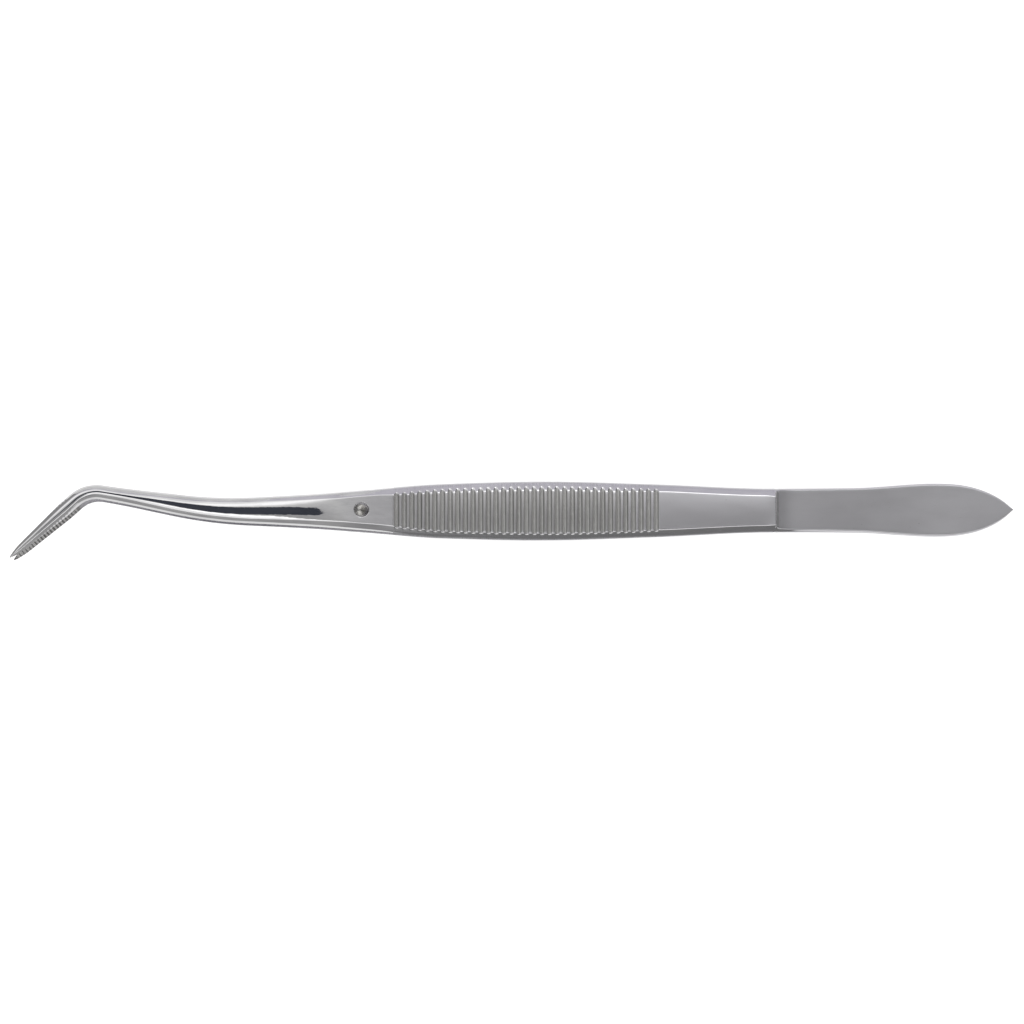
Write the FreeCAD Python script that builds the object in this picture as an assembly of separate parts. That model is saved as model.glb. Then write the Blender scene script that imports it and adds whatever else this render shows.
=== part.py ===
"""Dental tweezers with bent serrated tips, ribbed grips and a guide pin, in millimetres.

The tweezers lie on the flat of the lower arm. X runs along the handle, with the butt at +X and the tips
at -X, Y is across the arms and Z is up, which is also the way that the arms open. The origin is on the
resting plane, on the handle's centre line, halfway along the smooth flat between the step and the ribs.

Both arms are the same forging, one the mirror image of the other about the plane of the weld. A blank is
lofted along the arm's bent route, then finished as the real one is: the weld face and the jaw are ground,
the butt is milled thin up to the step, the grip is ground flat, and the ribs and the jaw's teeth are cut.
"""
import FreeCAD, Part
import math
import os

# Butt: the thin welded end and the spring, behind the step
WELD_LENGTH = 12.0
BUTT_LENGTH = 37.5
BUTT_WIDTH = 8.28
SPRING_WIDTH = 6.88
NECK_WIDTH = 6.6
BUTT_THICKNESS = 1.1
BUTT_WALL = 1.4
STEP_RADIUS = 0.6
POINT_WIDTH = 0.24
POINT_FULLNESS = 2.45
POINT_SHARPNESS = 0.83

# Grip: from the step to the guide pin, resting on its ground flat
REAR_WIDTH = 7.96
GRIP_WIDTH = 8.82
FRONT_WIDTH = 8.05
WIDEST_PAST_MIDDLE = 2.9
FRONT_BEHIND_LAST_RIB = 7.0
GRIP_THICKNESS = 2.0
GRIP_CHAMFER = 0.93
GRIP_WALL = 1.25
GRIP_DRAFT = 9.0
GRIND_ALLOWANCE = 0.12

# Ribs: round grooves across the flat
RIB_COUNT = 35
RIB_PITCH = 1.175
RIB_RADIUS = 0.43
RIB_DEPTH = 0.35
RIBS_AHEAD_OF_STEP = 18.1

# Guide pin, riveted in the lower arm, and its hole in the upper arm
PIN_AHEAD_OF_RIBS = 5.4
PIN_DIAMETER = 1.8
PIN_CONE_HEIGHT = 1.45
PIN_NOSE_DIAMETER = 0.3
PIN_BELOW_SURFACE = 0.35
RIVET_DIAMETER = 2.5
RIVET_DEPTH = 0.5
RIVET_RECESS = 0.04
HOLE_CLEARANCE = 0.22
HOLE_LEAD = 0.1

# Shaft: crowned on its outer face, with a slow curve, then the elbow and the straight bent tip
PIN_WIDTH = 6.12
SHAFT_WIDTH = 4.88
CURVE_WIDTH = 4.02
SLOPE_WIDTH = 3.14
WRIST_WIDTH = 2.23
TIP_WIDTH = 0.93
TIP_TAPER = 0.118
SHAFT_CHAMFER = 0.4
CHAMFER_SHARE = 0.36
SHAFT_WALL = 0.95
SHAFT_DRAFT = 16.0
TIP_DRAFT = 24.0
SHAFT_THICKNESS = 1.78
CURVE_THICKNESS = 1.62
WRIST_THICKNESS = 1.35
TIP_THICKNESS = 0.5
SHAFT_CROWN = 0.22
GRIP_CROWN = 0.05
SHAFT_RISE_SHARE = 0.4
SHAFT_LENGTH = 16.8
CURVE_RADIUS = 70.0
CURVE_ANGLE = 9.3
SLOPE_LENGTH = 11.8
ELBOW_RADIUS = 5.0
ELBOW_ANGLE = 51.0
TIP_LENGTH = 13.3
TIP_ROUNDING = 3.0
TIP_BLUNTNESS = 0.6

# Jaw teeth: fine notches across the inner face of the bent tip
TOOTH_PITCH = 0.6
TOOTH_DEPTH = 0.13
TOOTH_LAND = 0.1
TEETH_FROM_POINT = 0.9

# How the arms stand apart when nobody presses them
HALF_OPENING = 1.765
JAW_HALF_ANGLE = 2.045
PIVOT_AT = 20.0
STEP_HALF_GAP = 1.96
JAW_CLEARANCE = 0.02

# Stations, measured along the arm from the point of the butt
FIRST_RIB_AT = BUTT_LENGTH + RIBS_AHEAD_OF_STEP
LAST_RIB_AT = FIRST_RIB_AT + (RIB_COUNT - 1) * RIB_PITCH
PIN_AT = LAST_RIB_AT + PIN_AHEAD_OF_RIBS
CURVE_AT = PIN_AT + SHAFT_LENGTH
SLOPE_AT = CURVE_AT + CURVE_RADIUS * math.radians(CURVE_ANGLE)
ELBOW_AT = SLOPE_AT + SLOPE_LENGTH
JAW_AT = ELBOW_AT + ELBOW_RADIUS * math.radians(ELBOW_ANGLE)
ARM_LENGTH = JAW_AT + TIP_LENGTH
WIDEST_AT = (FIRST_RIB_AT + LAST_RIB_AT) / 2 - WIDEST_PAST_MIDDLE
FRONT_AT = LAST_RIB_AT - FRONT_BEHIND_LAST_RIB
REST_AT = (BUTT_LENGTH + FIRST_RIB_AT) / 2

OPEN_RISE = math.tan(math.radians(HALF_OPENING))
JAW_RISE = math.tan(math.radians(HALF_OPENING - JAW_HALF_ANGLE))

# How far cutting tools reach past the arm, and how closely the loft's sections follow it
REACH = 400.0
BEYOND = 20.0
POINT_SECTIONS = 6
TIP_SECTIONS = 8
TIP_SPACING = 1.7


def smooth(rows, at):
    """Value at a station of the curve through (station, value) rows; it never overshoots a row."""
    if at <= rows[0][0]:
        return rows[0][1]
    if at >= rows[-1][0]:
        return rows[-1][1]
    rises = [(b[1] - a[1]) / (b[0] - a[0]) for a, b in zip(rows, rows[1:])]
    slopes = [0.0]
    for before, after in zip(rises, rises[1:]):
        slopes.append(2 * before * after / (before + after) if before * after > 0 else 0.0)
    slopes.append(rises[-1])
    k = max(i for i in range(len(rows) - 1) if rows[i][0] <= at)
    span = rows[k + 1][0] - rows[k][0]
    u = (at - rows[k][0]) / span
    start = (2 * u ** 3 - 3 * u ** 2 + 1) * rows[k][1] + (u ** 3 - 2 * u ** 2 + u) * span * slopes[k]
    end = (3 * u ** 2 - 2 * u ** 3) * rows[k + 1][1] + (u ** 3 - u ** 2) * span * slopes[k + 1]
    return start + end


def route(at):
    """Place along the handle, offset across it and heading of the arm's centre line at a station."""
    stretches = [(CURVE_AT, 0.0), (SLOPE_AT, 1 / CURVE_RADIUS), (ELBOW_AT, 0.0),
                 (JAW_AT, -1 / ELBOW_RADIUS), (ARM_LENGTH, 0.0)]
    along, across, heading, begun = 0.0, 0.0, 0.0, 0.0
    for end, bend in stretches:
        run = min(at, end) - begun
        if bend:
            turned = heading + bend * run
            along += (math.sin(turned) - math.sin(heading)) / bend
            across += (math.cos(heading) - math.cos(turned)) / bend
            heading = turned
        else:
            along += run * math.cos(heading)
            across += run * math.sin(heading)
        begun = end
        if at <= end:
            break
    return along, across, heading


def weld_height(along):
    """Height of the weld plane, which is the mirror plane of the two arms."""
    return GRIP_THICKNESS + STEP_HALF_GAP + (along - BUTT_LENGTH) * OPEN_RISE


def jaw_height(along):
    """Height of the lower jaw's ground face, on a plane through the pivot line."""
    return weld_height(PIVOT_AT) + (along - PIVOT_AT) * JAW_RISE


def spring_height(at):
    """Inner face of the spring: it leaves the weld tangentially and runs out level at the step."""
    u = (at - WELD_LENGTH) / (BUTT_LENGTH - WELD_LENGTH)
    ease = 3 * u ** 2 - 2 * u ** 3
    lead_in = (u ** 3 - 2 * u ** 2 + u) * (BUTT_LENGTH - WELD_LENGTH) * OPEN_RISE
    return weld_height(WELD_LENGTH) * (1 - ease) + GRIP_THICKNESS * ease + lead_in


def inner_height(at):
    """Inner face of the blank, with grinding allowance left on the weld face and on the jaw."""
    if at <= WELD_LENGTH:
        return weld_height(at) + GRIND_ALLOWANCE * (1 - (at / WELD_LENGTH) ** 4)
    if at <= BUTT_LENGTH:
        return spring_height(at)
    wrist = jaw_height(route(ELBOW_AT)[0])
    rise = SHAFT_RISE_SHARE * (wrist - GRIP_THICKNESS)
    tip = jaw_height(route(ARM_LENGTH)[0]) + GRIND_ALLOWANCE / 2
    return smooth([(PIN_AT, GRIP_THICKNESS), (CURVE_AT, GRIP_THICKNESS + rise),
                   (ELBOW_AT, wrist), (JAW_AT, jaw_height(route(JAW_AT)[0]) + GRIND_ALLOWANCE / 2),
                   (ARM_LENGTH, tip)], at)


def half_width(at):
    """Half the arm's width: a full point at the butt, a belly at the grip and a rounded tip."""
    if at < WELD_LENGTH:
        fullness = (1 - (1 - at / WELD_LENGTH) ** POINT_FULLNESS) ** POINT_SHARPNESS
        return max(POINT_WIDTH, BUTT_WIDTH * fullness) / 2
    from_point = ARM_LENGTH - at
    if from_point < TIP_LENGTH:
        rounding = (1 - max(0.0, 1 - from_point / TIP_ROUNDING) ** 2) ** TIP_BLUNTNESS
        taper = min(WRIST_WIDTH, TIP_WIDTH + TIP_TAPER * from_point)
        return max(POINT_WIDTH, taper * rounding) / 2
    return smooth([(WELD_LENGTH, BUTT_WIDTH), ((WELD_LENGTH + BUTT_LENGTH) / 2, SPRING_WIDTH),
                   (BUTT_LENGTH, NECK_WIDTH), (FIRST_RIB_AT, REAR_WIDTH), (WIDEST_AT, GRIP_WIDTH),
                   (FRONT_AT, FRONT_WIDTH), (PIN_AT, PIN_WIDTH),
                   ((PIN_AT + CURVE_AT) / 2, SHAFT_WIDTH), (CURVE_AT, CURVE_WIDTH),
                   (SLOPE_AT, SLOPE_WIDTH), (ELBOW_AT, WRIST_WIDTH), (JAW_AT, WRIST_WIDTH)], at) / 2


def thickness(at):
    """Full height of the blank, with grinding allowance on the grip and the butt."""
    blank = GRIP_THICKNESS + GRIND_ALLOWANCE
    return smooth([(PIN_AT, blank), ((PIN_AT + CURVE_AT) / 2, SHAFT_THICKNESS), (CURVE_AT, CURVE_THICKNESS),
                   (JAW_AT, WRIST_THICKNESS), (ARM_LENGTH, TIP_THICKNESS)], at)


def section(at):
    """Blank's outline square to its route: flat inside, drafted walls, two chamfers and a crowned back."""
    along, across, heading = route(at)
    half = half_width(at)
    inner = inner_height(at)
    deep = thickness(at)
    wall = smooth([(PIN_AT, GRIP_WALL), (CURVE_AT, SHAFT_WALL), (ELBOW_AT, WRIST_THICKNESS / 2),
                   (ARM_LENGTH, TIP_THICKNESS / 2)], at)
    if at < BUTT_LENGTH:
        wall = smooth([(WELD_LENGTH, BUTT_WALL), (BUTT_LENGTH, GRIP_WALL)], at)
    draft = smooth([(LAST_RIB_AT, GRIP_DRAFT), (CURVE_AT, SHAFT_DRAFT), (ARM_LENGTH, TIP_DRAFT)], at)
    shoulder = half - min(wall * math.tan(math.radians(draft)), CHAMFER_SHARE * half)
    chamfer = smooth([(LAST_RIB_AT, GRIP_CHAMFER), (CURVE_AT, SHAFT_CHAMFER)], at)
    panel = shoulder - min(chamfer, CHAMFER_SHARE * half)
    crown = smooth([(LAST_RIB_AT, GRIP_CROWN), (CURVE_AT, SHAFT_CROWN), (ARM_LENGTH, GRIP_CROWN)], at)

    def corner(sideways, height):
        return FreeCAD.Vector(REST_AT - along + sideways * math.sin(heading),
                              across + sideways * math.cos(heading), height)

    corners = [corner(-half, inner), corner(half, inner), corner(shoulder, inner - wall),
               corner(panel, inner - deep + crown), corner(-panel, inner - deep + crown),
               corner(-shoulder, inner - wall)]
    back = Part.BezierCurve()
    back.setPoles([corners[3], corner(0.0, inner - deep - crown), corners[4]])
    edges = [Part.makeLine(corners[i], corners[(i + 1) % 6]) for i in range(6) if i != 3]
    edges.insert(3, back.toShape())
    return Part.Wire(edges)


def stations():
    """Where the loft has a section: closer together at the two points and round the elbow."""
    marks = [WELD_LENGTH * (k / POINT_SECTIONS) ** 2 for k in range(POINT_SECTIONS)]
    for start, end, steps in [(WELD_LENGTH, BUTT_LENGTH, 5), (BUTT_LENGTH, PIN_AT, 11),
                              (PIN_AT, CURVE_AT, 4), (CURVE_AT, SLOPE_AT, 3), (SLOPE_AT, ELBOW_AT, 4),
                              (ELBOW_AT, JAW_AT, 4)]:
        marks += [start + (end - start) * k / steps for k in range(steps)]
    shares = [(1 - k / TIP_SECTIONS) ** TIP_SPACING for k in range(TIP_SECTIONS + 1)]
    return marks + [ARM_LENGTH - TIP_LENGTH * share for share in shares]


def side_plate(outline):
    """Solid across the whole width whose side view is a closed outline of (along, height) edges."""
    face = Part.Face(Part.Wire(outline))
    face.translate(FreeCAD.Vector(0, -BEYOND, 0))
    return face.extrude(FreeCAD.Vector(0, 2 * BEYOND, 0))


def side_point(along, height):
    """Point of the side view, from its station and its height."""
    return FreeCAD.Vector(REST_AT - along, 0, height)


def half_space(height_at, upward):
    """Everything above, or below, a plane across the arms whose height is a function of the station."""
    near, far = -BEYOND, ARM_LENGTH + BEYOND
    outer = REACH if upward else -REACH
    corners = [side_point(near, height_at(near)), side_point(far, height_at(far)),
               side_point(far, outer), side_point(near, outer)]
    return side_plate([Part.makeLine(corners[i], corners[(i + 1) % 4]) for i in range(4)])


def butt_cutter():
    """What the mill takes off the butt: it follows the spring at its thickness, up to the round step."""
    turn_at = BUTT_LENGTH - STEP_RADIUS
    marks = [-BEYOND, 0.0, WELD_LENGTH]
    marks += [WELD_LENGTH + (turn_at - WELD_LENGTH) * k / 5 for k in range(1, 6)]
    heights = [weld_height(m) if m <= WELD_LENGTH else spring_height(m) for m in marks]
    floor = Part.BSplineCurve()
    floor.interpolate([side_point(m, h - BUTT_THICKNESS) for m, h in zip(marks, heights)])
    foot = side_point(turn_at, heights[-1] - BUTT_THICKNESS)
    turn = STEP_RADIUS * (1 - math.sqrt(0.5))
    middle = side_point(BUTT_LENGTH - turn, foot.z - turn)
    top = side_point(BUTT_LENGTH, foot.z - STEP_RADIUS)
    corners = [top, side_point(BUTT_LENGTH, -BEYOND), side_point(-BEYOND, -BEYOND),
               side_point(-BEYOND, heights[0] - BUTT_THICKNESS)]
    outline = [floor.toShape(), Part.Arc(foot, middle, top).toShape()]
    outline += [Part.makeLine(a, b) for a, b in zip(corners, corners[1:])]
    return side_plate(Part.sortEdges(outline)[0])


def rib_cutters():
    """Round bars across the grip, one for each groove."""
    cutters = []
    for k in range(RIB_COUNT):
        base = side_point(FIRST_RIB_AT + k * RIB_PITCH, RIB_DEPTH - RIB_RADIUS)
        base.y = -BEYOND
        cutters.append(Part.makeCylinder(RIB_RADIUS, 2 * BEYOND, base, FreeCAD.Vector(0, 1, 0)))
    return cutters


def tooth_cutters():
    """Three-sided bars across the jaw, their lower edges at the bottoms of the notches."""
    cutters = []
    count = int((TIP_LENGTH - TEETH_FROM_POINT) / TOOTH_PITCH)
    for k in range(count):
        along, across, heading = route(ARM_LENGTH - TEETH_FROM_POINT - k * TOOTH_PITCH)
        sideways = FreeCAD.Vector(math.sin(heading), math.cos(heading), 0)
        forward = FreeCAD.Vector(-math.cos(heading), math.sin(heading), 0) * (TOOTH_PITCH - TOOTH_LAND)
        up = FreeCAD.Vector(0, 0, TOOTH_DEPTH)
        middle = FreeCAD.Vector(REST_AT - along, across, jaw_height(along)) - sideways * WRIST_WIDTH
        corners = [middle - up, middle + up + forward, middle + up - forward]
        face = Part.Face(Part.makePolygon(corners + corners[:1]))
        cutters.append(face.extrude(sideways * 2 * WRIST_WIDTH))
    return cutters


def arm():
    """One finished arm, as the lower one lies: ground flat on the plane of the rest."""
    blank = Part.makeLoft([section(at) for at in stations()], True, False)
    ground = blank.cut(half_space(weld_height, True)).cut(half_space(jaw_height, True))
    milled = ground.cut(half_space(lambda along: 0.0, False)).cut(butt_cutter())
    return milled.cut(rib_cutters()).cut(tooth_cutters())


def mirrored(shape):
    """The same shape on the other side of the weld plane."""
    normal = FreeCAD.Vector(OPEN_RISE, 0, 1)
    return shape.mirror(side_point(PIVOT_AT, weld_height(PIVOT_AT)), normal)


def pin_axis(lead):
    """Foot of an upright axis that stands a little behind the pin hole's place."""
    return side_point(PIN_AT - lead, 0.0)


def guide_pin():
    """Turned pin: riveted head flush with the lower grip, straight shank and a coned free end."""
    shank = PIN_DIAMETER / 2
    surface = 2 * weld_height(PIN_AT)
    tip = surface - PIN_BELOW_SURFACE
    profile = [(0.0, RIVET_RECESS), (RIVET_DIAMETER / 2, RIVET_RECESS), (shank, RIVET_DEPTH),
               (shank, tip - PIN_CONE_HEIGHT), (PIN_NOSE_DIAMETER / 2, tip), (0.0, tip)]
    outline = Part.makePolygon([FreeCAD.Vector(r, 0, z) for r, z in profile + profile[:1]])
    pin = Part.Face(outline).revolve(FreeCAD.Vector(0, 0, 0), FreeCAD.Vector(0, 0, 1), 360)
    pin.translate(pin_axis(HOLE_LEAD))
    return pin


def lower_arm(finished):
    """Lower arm with the seat that the pin's shank and riveted head fill."""
    shank = PIN_DIAMETER / 2
    head = RIVET_DIAMETER / 2
    profile = [(0.0, -RIVET_DEPTH), (head, -RIVET_DEPTH), (head, RIVET_RECESS), (shank, RIVET_DEPTH),
               (shank, BEYOND), (0.0, BEYOND)]
    outline = Part.makePolygon([FreeCAD.Vector(r, 0, z) for r, z in profile + profile[:1]])
    seat = Part.Face(outline).revolve(FreeCAD.Vector(0, 0, 0), FreeCAD.Vector(0, 0, 1), 360)
    seat.translate(pin_axis(HOLE_LEAD))
    return finished.cut(seat)


def upper_arm(finished):
    """Upper arm with the guide pin's running hole, bored square to its grip."""
    below = pin_axis(0.0) - FreeCAD.Vector(0, 0, BEYOND)
    bore = Part.makeCylinder(PIN_DIAMETER / 2 + HOLE_CLEARANCE, 2 * BEYOND, below)
    return mirrored(finished.cut(bore))


def main():
    """Builds the three pieces, writes a file for each and prints what the record needs."""
    os.makedirs("parts", exist_ok=True)
    finished = arm()
    pieces = {"lower_arm": lower_arm(finished), "upper_arm": upper_arm(finished), "guide_pin": guide_pin()}
    for name, shape in pieces.items():
        print(name, "solids", len(shape.Solids), "valid", shape.isValid(), "volume", round(shape.Volume, 2))
        shape.Solids[0].exportStep(f"parts/{name}.step")
    jaw_reach = route(ELBOW_AT)[0] - PIVOT_AT
    closing = 2 * JAW_HALF_ANGLE - math.degrees(JAW_CLEARANCE / jaw_reach)
    print("pivot", side_point(PIVOT_AT, weld_height(PIVOT_AT)), "closing angle", round(closing, 3))


main()
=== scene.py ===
"""Looks of the dental tweezers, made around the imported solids.

Each arm is one surface: rounded outlines square to the arm's bent route, on a grid of stations along the
arm and places round the outline. Grinding, milling, ribs and jaw teeth are heights that limit the outline.
Lengths are in millimetres until a mesh is made.
"""
import bpy
import math
import numpy as np
from mathutils import Matrix, Vector


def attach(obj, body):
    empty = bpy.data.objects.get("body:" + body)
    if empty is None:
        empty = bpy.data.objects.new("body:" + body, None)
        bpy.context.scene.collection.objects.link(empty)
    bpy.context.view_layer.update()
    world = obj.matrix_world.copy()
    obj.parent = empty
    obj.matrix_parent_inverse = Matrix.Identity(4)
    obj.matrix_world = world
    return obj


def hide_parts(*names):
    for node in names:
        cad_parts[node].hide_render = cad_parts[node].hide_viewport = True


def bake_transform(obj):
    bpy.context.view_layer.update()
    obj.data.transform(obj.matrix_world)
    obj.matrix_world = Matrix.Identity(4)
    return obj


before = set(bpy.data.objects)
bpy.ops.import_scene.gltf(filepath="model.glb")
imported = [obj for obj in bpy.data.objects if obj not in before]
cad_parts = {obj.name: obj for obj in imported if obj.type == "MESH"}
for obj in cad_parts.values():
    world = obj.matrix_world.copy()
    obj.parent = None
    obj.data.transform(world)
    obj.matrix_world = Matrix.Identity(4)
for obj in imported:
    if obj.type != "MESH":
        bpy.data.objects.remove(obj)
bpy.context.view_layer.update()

MM = 0.001

# Butt and spring
WELD_LENGTH = 12.0
BUTT_LENGTH = 37.5
BUTT_WIDTH = 8.28
SPRING_WIDTH = 6.88
NECK_WIDTH = 6.6
BUTT_THICKNESS = 1.1
BUTT_WALL = 1.4
STEP_BACK = 0.38
STEP_RUN = 3.6
STEP_RISE = 0.46
STEP_CURVE = 2.3
STEP_FOOT = 0.36
STEP_FOOT_HEIGHT = 0.324
POINT_WIDTH = 0.24
POINT_FULLNESS = 2.45
POINT_SHARPNESS = 0.83

# Grip
REAR_WIDTH = 7.96
GRIP_WIDTH = 8.82
FRONT_WIDTH = 8.05
WIDEST_PAST_MIDDLE = 2.9
FRONT_BEHIND_LAST_RIB = 7.0
GRIP_THICKNESS = 2.0
GRIP_CHAMFER = 0.93
GRIP_WALL = 1.25
GRIP_DRAFT = 9.0
GRIND_ALLOWANCE = 0.12
GROUND_CROWN = 0.11
CROWN_RUN = 1.5
RIB_CROWN = 0.19
PANEL_SHIFT = 0.19
RIB_SHIFT = 0.40
SHIFT_ENDS_BEFORE_PIN = 2.0
SHIFT_FULL_HEIGHT = 0.1
RIB_CHAMFER = 1.26

# Ribs
RIB_COUNT = 35
RIB_PITCH = 1.175
RIB_RADIUS = 0.43
RIB_DEPTH = 0.25
RIBS_AHEAD_OF_STEP = 18.1

# Guide pin and hole
PIN_AHEAD_OF_RIBS = 5.4
PIN_DIAMETER = 1.8
PIN_POINT_HEIGHT = 0.3
PIN_NOSE_DIAMETER = 0.3
PIN_NOSE_HEIGHT = 0.06
PIN_POINT_CURVE = 1.15
PIN_BELOW_SURFACE = 0.35
RIVET_DIAMETER = 2.5
RIVET_DEPTH = 0.5
RIVET_RECESS = 0.04
RIVET_EDGE = 0.03
HOLE_CLEARANCE = 0.22
HOLE_LEAD = 0.1
HOLE_RIM = 0.05

# Shaft, elbow and tip
PIN_WIDTH = 6.12
SHAFT_WIDTH = 4.88
CURVE_WIDTH = 4.02
SLOPE_WIDTH = 3.14
WRIST_WIDTH = 2.23
TIP_WIDTH = 0.93
TIP_TAPER = 0.118
SHAFT_CHAMFER = 0.4
CHAMFER_SHARE = 0.36
SHAFT_WALL = 0.95
SHAFT_DRAFT = 16.0
TIP_DRAFT = 24.0
SHAFT_THICKNESS = 1.78
CURVE_THICKNESS = 1.62
WRIST_THICKNESS = 1.35
TIP_THICKNESS = 0.5
SHAFT_CROWN = 0.22
GRIP_CROWN = 0.05
SHAFT_RISE_SHARE = 0.4
SHAFT_LENGTH = 16.8
CURVE_RADIUS = 70.0
CURVE_ANGLE = 9.3
SLOPE_LENGTH = 11.8
ELBOW_RADIUS = 5.0
ELBOW_ANGLE = 51.0
TIP_LENGTH = 13.3
TIP_ROUNDING = 3.0
TIP_BLUNTNESS = 0.6

# Jaw teeth
TOOTH_PITCH = 0.6
TOOTH_DEPTH = 0.13
TOOTH_LAND = 0.1
TEETH_FROM_POINT = 0.9
TOOTH_COUNT = int((TIP_LENGTH - TEETH_FROM_POINT) / TOOTH_PITCH)

# Opening of the arms
HALF_OPENING = 1.765
JAW_HALF_ANGLE = 2.045
PIVOT_AT = 20.0
STEP_HALF_GAP = 1.96

# Stations from the point of the butt
STEP_AT = BUTT_LENGTH - STEP_BACK
FIRST_RIB_AT = BUTT_LENGTH + RIBS_AHEAD_OF_STEP
LAST_RIB_AT = FIRST_RIB_AT + (RIB_COUNT - 1) * RIB_PITCH
PIN_AT = LAST_RIB_AT + PIN_AHEAD_OF_RIBS
CURVE_AT = PIN_AT + SHAFT_LENGTH
SLOPE_AT = CURVE_AT + CURVE_RADIUS * math.radians(CURVE_ANGLE)
ELBOW_AT = SLOPE_AT + SLOPE_LENGTH
JAW_AT = ELBOW_AT + ELBOW_RADIUS * math.radians(ELBOW_ANGLE)
ARM_LENGTH = JAW_AT + TIP_LENGTH
WIDEST_AT = (FIRST_RIB_AT + LAST_RIB_AT) / 2 - WIDEST_PAST_MIDDLE
FRONT_AT = LAST_RIB_AT - FRONT_BEHIND_LAST_RIB
REST_AT = (BUTT_LENGTH + FIRST_RIB_AT) / 2
OPEN_RISE = math.tan(math.radians(HALF_OPENING))
JAW_RISE = math.tan(math.radians(HALF_OPENING - JAW_HALF_ANGLE))

# Edges broken by hand finishing, and least sizes of what they leave
INNER_EDGE = 0.10
WALL_EDGE = 0.34
PANEL_EDGE = 0.24
BUTT_RIM = 0.13
STEP_EDGE = 0.07
RIB_SOFTNESS = 0.04
POINT_EDGE = 0.16
HOLE_EDGE = 0.07
PANEL_INSET = 0.05
PANEL_SOFTNESS = 0.01
SHOULDER_SOFTNESS = 0.02
LEAST_WALL = 0.05
LEAST_PANEL_SHARE = 0.15
LEAST_RIM_SHARE = 0.3
LONGEST_REACH_SHARE = 0.42

# Shares of polish, and the lengths over which they change: from the last rib to the shaft, on the chamfers,
# along the step's foot and inside
POLISH_PAST_RIBS = 0.55
FLAT_POLISH = 0.42
PIN_POLISH = 0.5
POLISHED_PAST_PIN = 4.5
CHAMFER_POLISH = 0.62
FOOT_POLISH = 0.75
FOOT_FADE = 0.16
FOOT_FADES = 1.6
INNER_DULLING = 0.9
INNER_DEPTH = 0.3
INNER_FADE = 0.15
INNER_MARGIN = 0.05
JAW_POLISH = 0.5
JAW_FADE = 0.5

# Rib cuts as their finish sees them, and wear on the lands
CUT_FROM = 0.012
CUT_FADE = 0.05
CUT_SPAN = 0.8
LAST_RIB_WEAR = 0.7

# Places round an outline, from the middle of the inner face to the middle of the panel
FLAT_PLACES = 12
EDGE_PLACES = 4
WALL_PLACES = 2
CHAMFER_PLACES = 3
MOUTH_PLACES = 6
PANEL_EDGE_SHARE = 0.35

# Places round the pin, up its cone and over its nose, its rivet's loops as shares of the rivet's radius, and
# how close to its ends the straight shank has a loop
PIN_PLACES = 56
CONE_PLACES = 25
NOSE_PLACES = 6
RIVET_LOOPS = np.array([0.35, 0.7, 0.97, 1.0])
LOOP_PAST_RIVET = 0.1
LOOP_BEFORE_CONE = 0.02

# Wall of the running hole's lip: share of the way through, then share of the broken edge
HOLE_LIP = [(0.0, 1.0), (0.012, 0.3), (0.035, 0.0)]

# Loops round the rivet's seat and round the shank in the lower arm, as shares of the way through
SEAT_LOOP = 0.02
SHANK_LOOPS = [RIVET_DEPTH / GRIP_THICKNESS, 0.6, 0.96]

# Numbers of stations along the arm, from the butt's point to the tip's
ALONG = {"point": 30, "spring": 44, "step": 16, "foot": 9, "brow": 5, "flat": 30, "behind_pin": 12,
         "shaft": 44, "curve": 26, "slope": 30, "elbow": 18, "behind_teeth": 2, "tip": 7}

# Places along one rib and one tooth, from its middle, and shares of the way to the middle of an end
RIB_PLACES = [-0.59, -0.49, -0.43, -0.39, -0.35, -0.29, -0.2, -0.1,
              0.0, 0.1, 0.2, 0.29, 0.35, 0.39, 0.43, 0.49]
TOOTH_PLACES = [-0.3, -0.25, -0.19, -0.08, 0.0, 0.08, 0.19, 0.25]
END_STEPS = [0.35, 0.7, 0.92]
FLAT_END_SHRINK = 0.5

# How far past the hole's square it still draws places and then roundness, in half sides of the square
SQUARE_REACH = 1.4
ROUND_REACH = 0.6

# How far along the upper arm's pattern is set apart from the lower one's
UPPER_PATTERN_SHIFT = 400.0

# Steel colours, each with the lighter one that it drifts to where there are two; the groove walls' colours
# are painted highlight and painted shade, the jaw's and the pin side's painted shade
SATIN = (0.60, 0.593, 0.618, 1), (0.64, 0.634, 0.66, 1)
POLISHED = (0.63, 0.625, 0.635, 1), (0.73, 0.725, 0.73, 1)
MILLED = (0.46, 0.457, 0.445, 1), (0.53, 0.527, 0.52, 1)
MILLING_STREAK = (0.40, 0.398, 0.39, 1)
SCORED_LAND = (0.42, 0.417, 0.41, 1)
WORN_LAND = (0.45, 0.447, 0.44, 1)
# Painted highlight on one wall of each rib groove and painted shade on the other
PAINTED_HIGHLIGHT_WALL = (0.92, 0.915, 0.89, 1)
PAINTED_SHADE_WALL = (0.22, 0.218, 0.212, 1)
# Painted shade on the jaw's exposed face, standing in for the shade under the upper tip
PAINTED_SHADE_JAW = (0.40, 0.395, 0.385, 1)
TURNED = (0.40, 0.39, 0.37, 1), (0.60, 0.59, 0.57, 1)
# Painted shade on one side of the pin
PAINTED_SHADE_SIDE = (0.26, 0.25, 0.235, 1)

# Studio, in metres, and two brightnesses
FLOOR_HALF = 1.6
FLOOR_DROP = 0.00002
CEILING = 1.5
BLADE_HEIGHT = 0.043
FLOOR_CARD_HEIGHT = 0.0003
GLINT_HEIGHT = 0.0001
FLOOR_GLOW = 0.58
ROOM_LIGHT = 0.55
SHAFT_END = 0.13
GRIP_END = 0.74

# Camera, fitted to the photograph's outline: metres and degrees, and millimetres for the lens
CAMERA_LENS = 184.68
CAMERA_SENSOR = 36.0
CAMERA_ELEVATION = 87.2
CAMERA_ROLL = -0.2243
CAMERA_DISTANCE = 0.80876
CAMERA_TARGET = (-0.030975, -0.000265, 0.008)


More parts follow.
